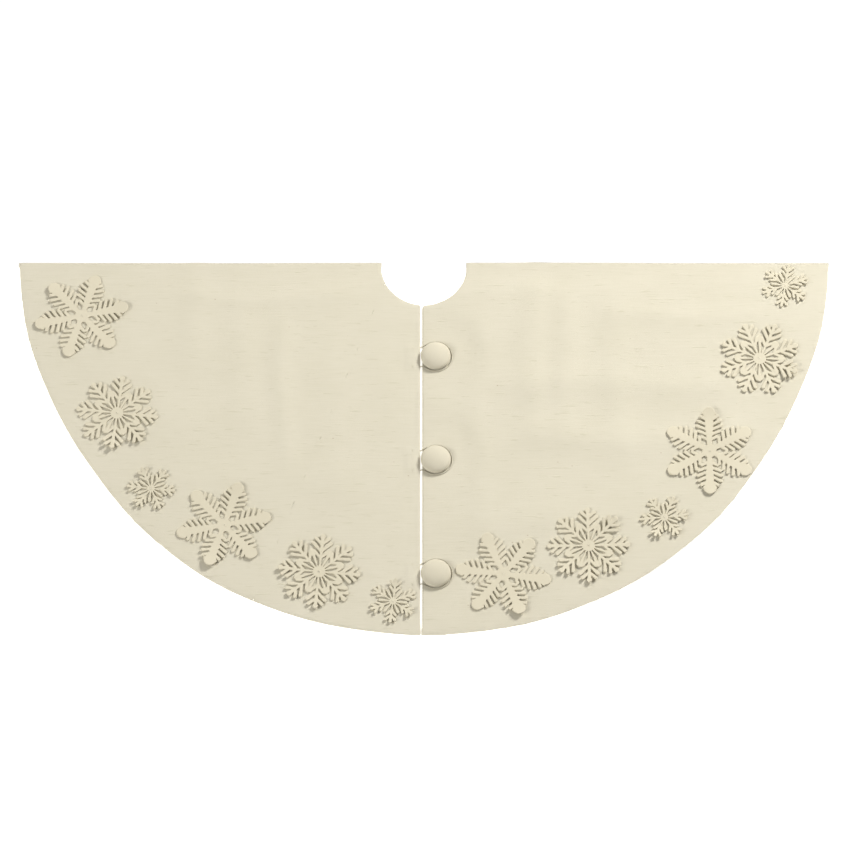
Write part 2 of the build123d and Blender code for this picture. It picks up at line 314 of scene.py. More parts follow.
    def _flecks(self, tree: bpy.types.NodeTree, place: bpy.types.NodeSocket,
                colour: bpy.types.NodeSocket) -> bpy.types.NodeSocket:
        """Scatter a few brown specks of cotton seed husk, 1 to 2 mm long, over a colour.

        Args:
            tree: The material's tree.
            place: Object coordinates, in metres.
            colour: The cloth's own colour.

        Returns:
            The colour with its specks.
        """
        long = add_node(tree, "ShaderNodeMapping", None, {"Vector": place, "Scale": (0.6, 1.0, 1.0)})
        cells = add_node(tree, "ShaderNodeTexVoronoi", None,
                         {"Vector": long.outputs["Vector"], "Scale": 60.0})
        near = add_node(tree, "ShaderNodeMapRange", None,
                        {"Value": cells.outputs["Distance"], "From Min": 0.035, "From Max": 0.06,
                         "To Min": 1.0, "To Max": 0.0})
        rare = add_node(tree, "ShaderNodeSeparateColor", None, {"Color": cells.outputs["Color"]})
        chosen = add_node(tree, "ShaderNodeMath", {"operation": "GREATER_THAN"},
                          {0: rare.outputs["Red"], 1: 0.86})
        weight = add_node(tree, "ShaderNodeMath", {"operation": "MULTIPLY"},
                          {0: near.outputs["Result"], 1: chosen.outputs[0]})
        faint = add_node(tree, "ShaderNodeMath", {"operation": "MULTIPLY"}, {0: weight.outputs[0], 1: 0.55})
        return add_node(tree, "ShaderNodeMix", {"data_type": "RGBA"},
                        {"Factor": faint.outputs[0], 6: colour, 7: hex_linear("#8A6A45")}).outputs[2]


@dataclass(frozen=True)
class HardFinish:
    """A plain hard material: moulded plastic or pressed aluminium sheet, with faint handling marks."""

    name: str
    colour: str
    roughness: float
    metallic: float
    mark: float = 2.0 * MM

    def build(self) -> bpy.types.Material:
        """Build the node material.

        Returns:
            The material.
        """
        material, tree, place = new_material(self.name)
        marks = add_node(tree, "ShaderNodeTexNoise", None,
                         {"Vector": place, "Scale": 1.0 / self.mark, "Detail": 4.0})
        rough = add_node(tree, "ShaderNodeMapRange", None,
                         {"Value": marks.outputs["Fac"], "To Min": self.roughness - 0.08,
                          "To Max": self.roughness + 0.12})
        shader = add_node(tree, "ShaderNodeBsdfPrincipled", None,
                          {"Base Color": hex_linear(self.colour), "Metallic": self.metallic,
                           "Roughness": rough.outputs["Result"]})
        add_node(tree, "ShaderNodeOutputMaterial", None, {"Surface": shader.outputs["BSDF"]})
        return material


@dataclass
class Wardrobe:
    """Every finish on the skirt, built once."""

    cloth: bpy.types.Material = field(init=False)
    felt: bpy.types.Material = field(init=False)
    button_cloth: bpy.types.Material = field(init=False)
    cord: bpy.types.Material = field(init=False)
    thread: bpy.types.Material = field(init=False)
    plastic: bpy.types.Material = field(init=False)
    metal: bpy.types.Material = field(init=False)

    def __post_init__(self) -> None:
        """Build the materials."""
        # Unbleached cotton with uneven weft: a warm cream with side-to-side streaks and seed specks.
        self.cloth = ClothFinish("unbleached slub cotton", Grain.SLUBS, "#D3CEBF", "#C4BFAB",
                                 flecks=True, bump=0.4).build()
        # Wool felt, die cut: a fibrous matt surface with no thread direction.
        self.felt = ClothFinish("cream wool felt", Grain.FELT, "#D3CDBB", "#C3BCA5",
                                thread=0.9 * MM, bump=0.3, bump_depth=0.4 * MM, sheen=0.2).build()
        # Button cloth: the same cotton in an even plain weave, pulled tight.
        self.button_cloth = ClothFinish("plain weave cotton", Grain.WEAVE, "#D1CBBA", "#C0BAA5",
                                        thread=1.1 * MM, bump=0.3, contrast=0.35).build()
        # Loop cord: spun cotton with a soft shine along its strands.
        self.cord = ClothFinish("spun cotton cord", Grain.FELT, "#D4CFBF", "#C1BBA6",
                                thread=0.6 * MM, roughness=0.8, specular=0.35).build()
        self.thread = ClothFinish("cotton sewing thread", Grain.FELT, "#D6D1C1", "#C2BCA8",
                                  thread=0.5 * MM, roughness=0.75, specular=0.4).build()
        # Button parts inside the cover: white moulded nylon and pressed aluminium sheet.
        self.plastic = HardFinish("moulded nylon", "#E4E1D8", 0.45, 0.0).build()
        self.metal = HardFinish("pressed aluminium sheet", "#D5D6D8", 0.35, 1.0).build()


# ------------------------------------------------------------------------------------ cut shapes
@dataclass
class CutSheet:
    """A flat shape cut from cloth, as a grid of faces with clean edges.

    Attributes:
        points: Flat points of the shape.
        depth: Each point's distance inside the nearest soft edge.
        faces: The faces, counter-clockwise.
        rim: Pairs of points along the cut edge, with the cloth on their left.
    """

    points: Array
    depth: Array
    faces: list[list[int]]
    rim: list[tuple[int, int]]

    @property
    def area(self) -> float:
        """The flat area of the shape.

        Returns:
            The area in the square of the points' unit.
        """
        total = 0.0
        for face in self.faces:
            ring = self.points[face]
            after = np.roll(ring, -1, axis=0)
            total += 0.5 * float(np.sum(ring[:, 0] * after[:, 1] - after[:, 0] * ring[:, 1]))
        return total


def cut_sheet(outline: Outline, low: tuple[float, float], high: tuple[float, float], step: float,
              soft_edge: Outline | None = None, corners: list[tuple[float, float]] | None = None) -> CutSheet:
    """Cut a shape out of a square grid along the line where its outline function is zero.

    Args:
        outline: Signed distance to the cut edge, negative inside the cloth.
        low: The grid's lowest corner.
        high: The grid's highest corner.
        step: The grid's spacing.
        soft_edge: Signed distance to the edges that are rounded, if that isn't all of them.
        corners: Sharp corners of the cut edge, which the grid alone would cut off.

    Returns:
        The cut shape.
    """
    xs = np.arange(low[0], high[0] + step, step)
    ys = np.arange(low[1], high[1] + step, step)
    grid_x, grid_y = np.meshgrid(xs, ys, indexing="ij")
    value = outline(grid_x, grid_y)
    least = 0.12 * step
    value = np.where(np.abs(value) < least, np.where(value < 0, -least, least), value)
    inside = value < 0
    points: list[tuple[float, float]] = []
    corner = -np.ones(value.shape, int)
    for i, j in zip(*np.nonzero(inside)):
        corner[i, j] = len(points)
        points.append((xs[i], ys[j]))
    whole = len(points)
    crossing: dict[tuple, int] = {}
    for di, dj in ((1, 0), (0, 1)):
        here = inside[:value.shape[0] - di, :value.shape[1] - dj]
        there = inside[di:, dj:]
        for i, j in zip(*np.nonzero(here != there)):
            share = value[i, j] / (value[i, j] - value[i + di, j + dj])
            crossing[(i, j, di)] = len(points)
            points.append((xs[i] + di * share * step, ys[j] + dj * share * step))
    faces: list[list[int]] = []
    rim: list[tuple[int, int]] = []
    count = (inside[:-1, :-1].astype(int) + inside[1:, :-1] + inside[1:, 1:] + inside[:-1, 1:])
    for i, j in zip(*np.nonzero(count > 0)):
        ring = [(i, j), (i + 1, j), (i + 1, j + 1), (i, j + 1)]
        if count[i, j] == 4:
            faces.append([int(corner[c]) for c in ring])
            continue
        sides = [(i, j, 1), (i + 1, j, 0), (i, j + 1, 1), (i, j, 0)]
        middle_in = value[i:i + 2, j:j + 2].mean() < 0
        for part in _cell_parts(ring, sides, inside, corner, crossing, middle_in):
            faces.append(part)
            edge = len(part)
            for k in range(edge):
                a, b = part[k], part[(k + 1) % edge]
                if a >= whole and b >= whole:
                    rim.append((a, b))
    for spot in corners or []:
        _add_corner(spot, points, faces, rim)
    flat = np.array(points)
    depth = np.maximum(-(soft_edge or outline)(flat[:, 0], flat[:, 1]), 0)
    return CutSheet(flat, depth, faces, rim)


def _add_corner(spot: tuple[float, float], points: list, faces: list, rim: list) -> None:
    """Bend the nearest piece of cut edge out to a sharp corner.

    Args:
        spot: The corner.
        points: Every flat point, which gains the corner.
        faces: Every face, one of which gains the corner.
        rim: The cut edge, one piece of which is split in two.
    """
    middles = np.array([np.add(points[a], points[b]) / 2 for a, b in rim])
    nearest = int(np.hypot(middles[:, 0] - spot[0], middles[:, 1] - spot[1]).argmin())
    a, b = rim[nearest]
    new = len(points)
    points.append(spot)
    rim[nearest:nearest + 1] = [(a, new), (new, b)]
    for face in faces:
        if a in face and face[(face.index(a) + 1) % len(face)] == b:
            face.insert(face.index(a) + 1, new)
            return


def _cell_parts(ring: list, sides: list, inside: Array, corner: Array, crossing: dict,
                middle_in: bool) -> list[list[int]]:
    """The part or parts of one grid cell that lie inside the cut edge.

    Args:
        ring: The cell's corners, counter-clockwise.
        sides: The key of each side's crossing, from each corner to the next.
        inside: Which grid points are cloth.
        corner: The point number of each grid point.
        crossing: The point number of each crossing.
        middle_in: Whether the cell's middle is cloth, which settles a saddle.

    Returns:
        Faces as lists of point numbers.
    """
    flags = [bool(inside[c]) for c in ring]
    if flags in ([True, False, True, False], [False, True, False, True]) and not middle_in:
        parts = []
        for k in range(4):
            if flags[k]:
                parts.append([int(corner[ring[k]]), crossing[sides[k]], crossing[sides[k - 1]]])
        return parts
    part = []
    for k in range(4):
        if flags[k]:
            part.append(int(corner[ring[k]]))
        if flags[k] != flags[(k + 1) % 4]:
            part.append(crossing[sides[k]])
    return [part]


def raise_sheet(sheet: CutSheet, thickness: float, edge_round: float,
                shape: Callable[[Array], Array]) -> tuple[Array, list]:
    """Give a cut shape its thickness, with softened edges, and lay it in space.

    Args:
        sheet: The flat shape.
        thickness: The cloth's thickness.
        edge_round: How far in from the cut the surface rounds down.
        shape: Turns flat points into points of the cloth's lower surface.

    Returns:
        The closed mesh's points and faces.
    """
    lower = shape(sheet.points)
    full = np.clip(sheet.depth / edge_round, 0, 1)
    body = 0.62 + 0.38 * np.sqrt(1 - (1 - full) ** 2)
    middle = lower[:, 2] + thickness / 2
    top = lower.copy()
    bottom = lower.copy()
    top[:, 2] = middle + body * thickness / 2
    bottom[:, 2] = middle - body * thickness / 2
    count = len(sheet.points)
    faces = list(sheet.faces)
    faces += [[v + count for v in reversed(face)] for face in sheet.faces]
    faces += [[b, a, a + count, b + count] for a, b in sheet.rim]
    return np.vstack([top, bottom]), faces


# ------------------------------------------------------------------------------------ the lie of the cloth
@dataclass
class LieOfCloth:
    """How far the cloth stands off the floor: broad soft waves and old folds, flat by the fastenings."""

    slit_x: float
    button_ys: list[float]
    wave: float = 1.8 * MM
    button_side: float = 20 * MM   # from the slit to a button's flat patch of cloth
    flat_reach: float = 60 * MM
    flat_fade: float = 110 * MM
    slit_fade: float = 60 * MM
    fold_end: float = 80 * MM      # over which an old fold dies out
    fold_wander: float = 6 * MM
    patch_size: tuple[float, float] = (18 * MM, 47 * MM)
    patch_x: float = -24.25 * MM
    patch_bump: float = 1.0 * MM
    # Broad swells: radians for each metre of x and of y, a start in radians, and a strength.
    swells: tuple = ((7.1, 3.3, 0.6, 1.0), (-4.2, 8.7, 2.1, 1.0), (13.0, -11.0, 4.0, 0.6),
                     (23.0, 17.0, 0.0, 0.4))
    # Old folds that run up and down: place in x, from and to in y, width, and height in mm.
    long_folds: tuple = ((-0.262, -0.08, -0.46, 0.020, 3.0), (-0.345, -0.05, -0.36, 0.026, 1.8),
                         (-0.43, 0.30, -0.25, 0.024, 2.2), (-0.17, -0.15, -0.50, 0.034, 1.6),
                         (0.10, -0.08, -0.60, 0.026, 2.2), (0.205, 0.10, -0.40, 0.026, 2.8),
                         (0.262, -0.02, -0.40, 0.024, 2.8), (0.36, -0.04, -0.45, 0.028, 2.4),
                         (-0.25, 0.65, 0.15, 0.024, 2.4), (0.22, 0.62, 0.15, 0.024, 2.4),
                         (0.02, 0.66, 0.20, 0.034, 2.0))
    # Old folds that run from side to side: place in y, from and to in x, width, and height in mm.
    cross_folds: tuple = ((-0.245, 0.10, 0.62, 0.032, 2.8), (-0.36, 0.12, 0.64, 0.034, 2.6),
                          (-0.065, -0.50, -0.10, 0.018, 1.6), (-0.10, 0.30, 0.66, 0.022, 1.8),
                          (0.30, -0.60, 0.60, 0.034, 2.2), (-0.33, -0.60, -0.25, 0.045, 1.6),
                          (-0.53, 0.06, 0.40, 0.034, 1.8), (-0.45, -0.56, -0.08, 0.05, 1.6))

    def _fold(self, across: Array, along: Array, fold: tuple) -> Array:
        """One soft ridge, which wanders a little and fades at both ends.

        Args:
            across: Points, measured across the fold.
            along: The same points, measured along it.
            fold: Its place, start, end, width and height.

        Returns:
            Its height at each point.
        """
        place, start, end, width, height = fold
        low, high = min(start, end), max(start, end)
        ends = smooth((along - low) / self.fold_end) * smooth((high - along) / self.fold_end)
        wander = self.fold_wander * np.sin(along * 17 + place * 40)
        return height * MM * np.exp(-((across - place - wander) / width) ** 2) * ends

    def lift(self, x: Array, y: Array) -> Array:
        """How far the cloth's underside is off the floor at each point.

        Args:
            x: Points.
            y: Points.

        Returns:
            The height at each point.
        """
        waves = sum(share * np.sin(in_x * x + in_y * y + start) for in_x, in_y, start, share in self.swells)
        most = sum(swell[3] for swell in self.swells)
        total = self.wave * (waves + most) / most
        for fold in self.long_folds:
            total = total + self._fold(x, y, fold)
        for fold in self.cross_folds:
            total = total + self._fold(y, x, fold)
        calm = np.ones_like(total)
        for button_y in self.button_ys:
            away = np.hypot(x - self.slit_x - self.button_side, y - button_y)
            calm = np.minimum(calm, smooth((away - self.flat_reach) / (self.flat_fade - self.flat_reach)))
        by_slit = np.where(y < 0, np.abs(x - self.slit_x), 1.0)
        calm = np.minimum(calm, 0.25 + 0.75 * smooth(by_slit / self.slit_fade))
        return total * np.minimum(calm, self.pressed(y)) + self._patch_bumps(x, y)

    def pressed(self, y: Array) -> Array:
        """The share of relief left where the skirt is stored folded across the middle."""
        return 0.15 + 0.85 * smooth((np.abs(y) - 0.008) / 0.05)

    def _patch_bumps(self, x: Array, y: Array) -> Array:
        """The low marks that the patches under the flap press into the cloth above them.

        Args:
            x: Points.
            y: Points.

        Returns:
            The extra height at each point.
        """
        bumps = np.zeros_like(x)
        half_w, half_l = self.patch_size[0] / 2, self.patch_size[1] / 2
        for button_y in self.button_ys:
            dx = np.abs(x - self.patch_x) - half_w
            dy = np.abs(y - button_y) - half_l
            bumps = np.maximum(bumps, smooth(-np.maximum(dx, dy * 0.5) / (9 * MM) + 0.5))
        return self.patch_bump * bumps


# ------------------------------------------------------------------------------------ snowflakes
class FlakeKind(Enum):
    """The three cut designs, as their CAD nodes name them."""

    LARGE = "large"
    MEDIUM = "medium"
    SMALL = "small"


def bar(x: Array, y: Array, start: tuple[float, float], end: tuple[float, float],
        start_half: float, end_half: float) -> Array:
    """Signed distance to a round-ended bar that may taper.

    Args:
        x: Points.
        y: Points.
        start: One end.
        end: The other end.
        start_half: Half the width at the start.
        end_half: Half the width at the end.

    Returns:
        The distance, negative inside.
    """
    dx, dy = end[0] - start[0], end[1] - start[1]
    share = np.clip(((x - start[0]) * dx + (y - start[1]) * dy) / (dx * dx + dy * dy), 0, 1)
    away = np.hypot(x - start[0] - share * dx, y - start[1] - share * dy)
    return away - (start_half + (end_half - start_half) * share)


def slanted_bar(x: Array, y: Array, place: float, length: float, degrees: float, start_half: float,
                end_half: float, offset: float = 0.0) -> Array:
    """A bar that leaves an arm's middle line at place, at an angle.

    Args:
        x: Points.
        y: Points.
        place: Where on the middle line it starts.
        length: Its length.
        degrees: Its angle from the arm.
        start_half: Half the width at the start.
        end_half: Half the width at the end.
        offset: How far from the middle line it starts.

    Returns:
        The distance, negative inside.
    """
    turn = math.radians(degrees)
    start = (place, offset)
    end = (place + length * math.cos(turn), offset + length * math.sin(turn))
    return bar(x, y, start, end, start_half, end_half)


def between_arms(x: Array, y: Array, arms: int, length: float, start_half: float, end_half: float) -> Array:
    """A spoke half way between two arms, for points already folded to an arm.

    Args:
        x: Points.
        y: Points.
        arms: How many arms there are.
        length: How far out it reaches.
        start_half: Half the width at the start.
        end_half: Half the width at the end.

    Returns:
        The distance, negative inside.
    """
    turn = math.pi / arms
    end = (length * math.cos(turn), length * math.sin(turn))
    return bar(x, y, (0.1 * math.cos(turn), 0.1 * math.sin(turn)), end, start_half, end_half)


def fold_to_arm(x: Array, y: Array, arms: int) -> tuple[Array, Array]:
    """Turn and mirror every point onto the upper half of the arm along +X.

    Args:
        x: Points.
        y: Points.
        arms: How many arms there are.

    Returns:
        The points' places along the arm and across it.
    """
    sector = 2 * np.pi / arms
    angle = np.arctan2(y, x)
    angle = np.abs(angle - np.round(angle / sector) * sector)
    reach = np.hypot(x, y)
    return reach * np.cos(angle), reach * np.sin(angle)


def large_outline(x: Array, y: Array) -> Array:
    """Six broad arms with short round leaflets and round tips, in shares of the radius.

    Args:
        x: Points.
        y: Points.

    Returns:
        The distance to the cut edge, negative in the felt.
    """
    x, y = fold_to_arm(x, y, 6)
    cloth = np.minimum(np.hypot(x, y) - 0.15, bar(x, y, (0.1, 0.0), (0.62, 0.0), 0.045, 0.088))
    cloth = np.minimum(cloth, bar(x, y, (0.62, 0.0), (0.86, 0.0), 0.088, 0.072))
    cloth = np.minimum(cloth, np.hypot(x - 0.87, y) - 0.13)
    for place, length, degrees in ((0.235, 0.18, 60), (0.355, 0.245, 66), (0.465, 0.27, 66),
                                   (0.575, 0.26, 63), (0.685, 0.205, 58), (0.775, 0.14, 54)):
        cloth = np.minimum(cloth, slanted_bar(x, y, place, length, degrees, 0.029, 0.034))
    return cloth


def medium_outline(x: Array, y: Array) -> Array:
    """Eight branching arms, with leaf-shaped holes round the middle, in shares of the radius.

    Args:
        x: Points.
        y: Points.

    Returns:
        The distance to the cut edge, negative in the felt.
    """
    x, y = fold_to_arm(x, y, 8)
    cloth = np.minimum(np.hypot(x, y) - 0.15, bar(x, y, (0.1, 0.0), (0.90, 0.0), 0.022, 0.044))
    cloth = np.minimum(cloth, between_arms(x, y, 8, 0.58, 0.012, 0.046))
    for place, length, degrees in ((0.36, 0.24, 44), (0.53, 0.31, 43), (0.72, 0.22, 45)):
        cloth = np.minimum(cloth, slanted_bar(x, y, place, length, degrees, 0.028, 0.044))
    return np.minimum(cloth, np.hypot(x - 0.935, y) - 0.065)


def small_outline(x: Array, y: Array) -> Array:
    """Six thin branching arms with a plain spoke between each two, in shares of the radius.

    Args:
        x: Points.
        y: Points.

    Returns:
        The distance to the cut edge, negative in the felt.
    """
    x, y = fold_to_arm(x, y, 6)
    cloth = np.minimum(np.hypot(x, y) - 0.14, bar(x, y, (0.1, 0.0), (0.93, 0.0), 0.030, 0.062))
    cloth = np.minimum(cloth, between_arms(x, y, 6, 0.53, 0.028, 0.062))
    cloth = np.minimum(cloth, slanted_bar(x, y, 0.40, 0.28, 40, 0.045, 0.055))
    return np.minimum(cloth, slanted_bar(x, y, 0.64, 0.28, 42, 0.048, 0.058))


@dataclass(frozen=True)
class FlakeDesign:
    """A cut design: its number of arms, its cut edge, and the grid it is cut on."""

    arms: int
    outline: Outline
    step: float


DESIGNS = {
    FlakeKind.LARGE: FlakeDesign(6, large_outline, 1.3 * MM),
    FlakeKind.MEDIUM: FlakeDesign(8, medium_outline, 1.15 * MM),
    FlakeKind.SMALL: FlakeDesign(6, small_outline, 0.75 * MM),
}


@dataclass
class Snowflake:
    """One cut-out felt snowflake, tacked down at its middle, with tips that curl off the cloth."""

    node: str
    arms: int
    cut: CutSheet
    lie: LieOfCloth
    body: str
    cloth_thickness: float
    seed: int
    thickness: float = 2.7 * MM
    edge_round: float = 0.9 * MM
    curl: float = 7.0 * MM
    curl_from: float = 0.30       # share of the radius
    tilt: float = 0.6 * MM
    clear: float = 0.15 * MM
    centre: Vector = field(init=False)
    radius: float = field(init=False)
    turn: float = field(init=False)

    def __post_init__(self) -> None:
        """Read the flake's place, size and turn from its CAD node."""
        low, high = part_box(self.node)
        self.centre = (low + high) / 2
        points = np.array([v.co for v in frame["nodes"][self.node].data.vertices])[:, :2]
        away = points - np.array(self.centre)[:2]
        reach = np.hypot(away[:, 0], away[:, 1])
        self.radius = float(reach.max())
        far = reach > 0.985 * self.radius
        angle = np.arctan2(away[far, 1], away[far, 0])
        self.turn = float(np.angle(np.exp(1j * self.arms * angle).mean()) / self.arms)

    def build(self, material: bpy.types.Material) -> bpy.types.Object:
        """Args:
            material: The felt.

        Returns:
            The flake's object.
        """
        chance = np.random.default_rng(self.seed)
        curls = self.curl * chance.uniform(0.1, 1.0, self.arms) ** 1.8
        twists = chance.uniform(-0.5, 0.5, self.arms)
        tilt = chance.uniform(-1, 1, 2) * self.tilt
        sector = 2 * np.pi / self.arms

        def shape(flat: Array) -> Array:
            """Bend the flat flake and lay it on the cloth.

            Args:
                flat: Flat points, in shares of the radius.

            Returns:
                Points of the felt's underside.
            """
            reach = np.hypot(flat[:, 0], flat[:, 1])
            angle = np.arctan2(flat[:, 1], flat[:, 0])
            nearest = np.round(angle / sector)
            arm = nearest.astype(int) % self.arms
            aside = angle - nearest * sector
            rise = np.clip((reach - self.curl_from) / (1 - self.curl_from), 0, 1.05) ** 2.2
            lift = rise * curls[arm] * (1 + twists[arm] * aside * 2.2)
            lift += np.clip(reach - 0.15, 0, 1) * (abs(tilt[0]) + flat @ tilt)
            cos_t, sin_t = math.cos(self.turn), math.sin(self.turn)
            pull = 1 - 0.10 * rise * curls[arm] / self.radius
            u, v = flat[:, 0] * self.radius * pull, flat[:, 1] * self.radius * pull
            x = self.centre.x + u * cos_t - v * sin_t
            y = self.centre.y + u * sin_t + v * cos_t
            lift = np.maximum(lift, 0) * self.lie.pressed(y)
            z = self.cloth_thickness + self.lie.lift(x, y) + self.clear + lift
            return np.column_stack([x, y, z])

        sheet = CutSheet(self.cut.points, self.cut.depth * self.radius, self.cut.faces, self.cut.rim)
        points, faces = raise_sheet(sheet, self.thickness, self.edge_round, shape)
        piece = mesh_object(f"{self.node}_felt", points, faces, material, 50)
        declare(piece, self.node, self.body)
        return piece


@dataclass
class SnowflakeRing:
    """All the snowflakes, and the stitches that tack them down."""

    lie: LieOfCloth
    cloth_thickness: float

    def build(self, wardrobe: Wardrobe) -> list[bpy.types.Object]:
        """Build every flake and its tack stitches.

        Args:
            wardrobe: The finishes.

        Returns:
            The pieces made.
        """
        names = sorted(n for n in frame["nodes"] if "snowflake" in n)
        cuts = {}
        for kind, design in DESIGNS.items():
            low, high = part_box(f"{kind.value}_snowflake_1")
            step = design.step / ((high.x - low.x) / 2)
            cuts[kind] = cut_sheet(design.outline, (-1.02, -1.02), (1.02, 1.02), step)
        pieces = []
        centres: dict[str, list[Vector]] = {"skirt": [], "left_flap": []}
        for seed, name in enumerate(names, start=11):
            kind = FlakeKind(name.split("_")[0])
            body = frame["nodes"][name]["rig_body"]
            flake = Snowflake(name, DESIGNS[kind].arms, cuts[kind], self.lie, body,
                              self.cloth_thickness, seed)
            pieces.append(flake.build(wardrobe.felt))
            x, y, _ = flake.centre
            lift = float(self.lie.lift(np.array([x]), np.array([y]))[0])
            centres[body].append(Vector((x, y, self.cloth_thickness + flake.clear + flake.thickness + lift)))
        for body, node in (("skirt", "skirt_tack_stitches"), ("left_flap", "flap_tack_stitches")):
            pieces.append(TackStitches(node, body, centres[body]).build(wardrobe.thread))
        return pieces


# ------------------------------------------------------------------------------------ stitches
@dataclass
class TackStitches:
    """Small stitches, one set at each given point, made by Geometry Nodes.

    Attributes:
        name: The piece's name, which is its CAD node's name if it has one.
        body: The body they ride on.
        places: Where they are.
        length: How far each stitch reaches.
        thread: The thread's diameter.
        turns: The direction of each stitch in a set, in degrees.
        in_cad: Whether they stand for a CAD node.
    """

    name: str
    body: str
    places: list[Vector]
    length: float = 7.0 * MM
    thread: float = 1.1 * MM
    turns: tuple[float, ...] = (45.0, -45.0)
    in_cad: bool = True

    def build(self, material: bpy.types.Material) -> bpy.types.Object:
        """Build the stitches as one plain mesh.

        Args:
            material: The thread.

        Returns:
            The stitches' object.
        """
        mesh = bpy.data.meshes.new(self.name)
        mesh.from_pydata([tuple(place) for place in self.places], [], [])
        holder = bpy.data.objects.new(f"{self.name}_thread", mesh)
        bpy.context.scene.collection.objects.link(holder)
        sizes = {"Stitch length": self.length, "Thread radius": self.thread / 2}
        grow(holder, self._tree(material, tuple(sizes)), sizes)
        return declare(holder, self.name if self.in_cad else None, self.body)

    def _tree(self, material: bpy.types.Material, sizes: tuple[str, ...]) -> bpy.types.NodeTree:
        """The node tree: an arched thread for each turn, on every point.

        Args:
            material: The thread.
            sizes: The names of the size inputs.

        Returns:
            The group.
        """
        tree, given = start_group("crossed stitches", sizes)
        length, radius = given.outputs["Stitch length"], given.outputs["Thread radius"]
        left, right, high, low = (
            add_node(tree, "ShaderNodeMath", {"operation": "MULTIPLY"}, {0: size, 1: share}).outputs[0]
            for size, share in ((length, -0.5), (length, 0.5), (radius, 1.6), (radius, -0.8)))
        start = add_node(tree, "ShaderNodeCombineXYZ", None, {"X": left, "Z": low})
        top = add_node(tree, "ShaderNodeCombineXYZ", None, {"Z": high})
        end = add_node(tree, "ShaderNodeCombineXYZ", None, {"X": right, "Z": low})
        arch = add_node(tree, "GeometryNodeCurveQuadraticBezier", None,
                        {"Resolution": 8, "Start": start.outputs[0], "Middle": top.outputs[0],
                         "End": end.outputs[0]})
        ring = add_node(tree, "GeometryNodeCurvePrimitiveCircle", None, {"Resolution": 8, "Radius": radius})
        thread = add_node(tree, "GeometryNodeCurveToMesh", None,
                          {"Curve": arch.outputs["Curve"], "Profile Curve": ring.outputs["Curve"],
                           "Fill Caps": True})
        stitch = add_node(tree, "GeometryNodeJoinGeometry")
        for turn in self.turns:
            turned = add_node(tree, "GeometryNodeTransform", None,
                              {"Geometry": thread.outputs["Mesh"],
                               "Rotation": (0.0, 0.0, math.radians(turn))})
            tree.links.new(turned.outputs["Geometry"], stitch.inputs["Geometry"])
        copies = add_node(tree, "GeometryNodeInstanceOnPoints", None,
                          {"Points": given.outputs["Geometry"], "Instance": stitch.outputs["Geometry"]})
        end_group(tree, copies.outputs["Instances"], material)
        return tree


def start_group(name: str, sizes: tuple[str, ...]) -> tuple[bpy.types.NodeTree, bpy.types.Node]:
    """Start a Geometry Nodes group with named sizes.

    Args:
        name: The group's name.
        sizes: The names of its size inputs.

    Returns:
        The group and its Group Input node.
    """
    tree = bpy.data.node_groups.new(name, "GeometryNodeTree")
    tree.interface.new_socket("Geometry", in_out="INPUT", socket_type="NodeSocketGeometry")
    for size in sizes:
        tree.interface.new_socket(size, in_out="INPUT", socket_type="NodeSocketFloat")
    tree.interface.new_socket("Geometry", in_out="OUTPUT", socket_type="NodeSocketGeometry")
    return tree, add_node(tree, "NodeGroupInput")


def end_group(tree: bpy.types.NodeTree, geometry: Socket, material: bpy.types.Material) -> None:
    """Make a group's copies real, smooth and dressed, and send them out.

    Args:
        tree: The group.
        geometry: What it has made.
        material: The finish.
    """
    real = add_node(tree, "GeometryNodeRealizeInstances", None, {"Geometry": geometry})
    smoothed = add_node(tree, "GeometryNodeSetShadeSmooth", None, {"Geometry": real.outputs["Geometry"]})
    dressed = add_node(tree, "GeometryNodeSetMaterial", None,
                       {"Geometry": smoothed.outputs["Geometry"], "Material": material})
    add_node(tree, "NodeGroupOutput", None, {"Geometry": dressed.outputs["Geometry"]})


def grow(holder: bpy.types.Object, tree: bpy.types.NodeTree, sizes: dict[str, float]) -> None:
    """Run a group on an object, and keep the result as the object's plain mesh.

    Args:
        holder: The object, whose mesh is where the group starts from.
        tree: The group.
        sizes: The group's sizes by name.
    """
    modifier = holder.modifiers.new(tree.name, "NODES")
    modifier.node_group = tree
    for socket in tree.interface.items_tree:
        if socket.in_out == "INPUT" and socket.name in sizes:
            modifier[socket.identifier] = sizes[socket.name]
    graph = bpy.context.evaluated_depsgraph_get()
    mesh = bpy.data.meshes.new_from_object(holder.evaluated_get(graph))
    holder.modifiers.clear()
    holder.data = mesh


def declare(piece: bpy.types.Object, node: str | None, body: str) -> bpy.types.Object:
    """Hide the CAD node that a piece stands for, and attach the piece to the body it rides on.

    Args:
        piece: The piece.
        node: The CAD node it replaces, if there is one.
        body: The body it rides on.

    Returns:
        The same piece.
    """
    if node:
        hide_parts(node)
    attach(piece, body)
    return piece


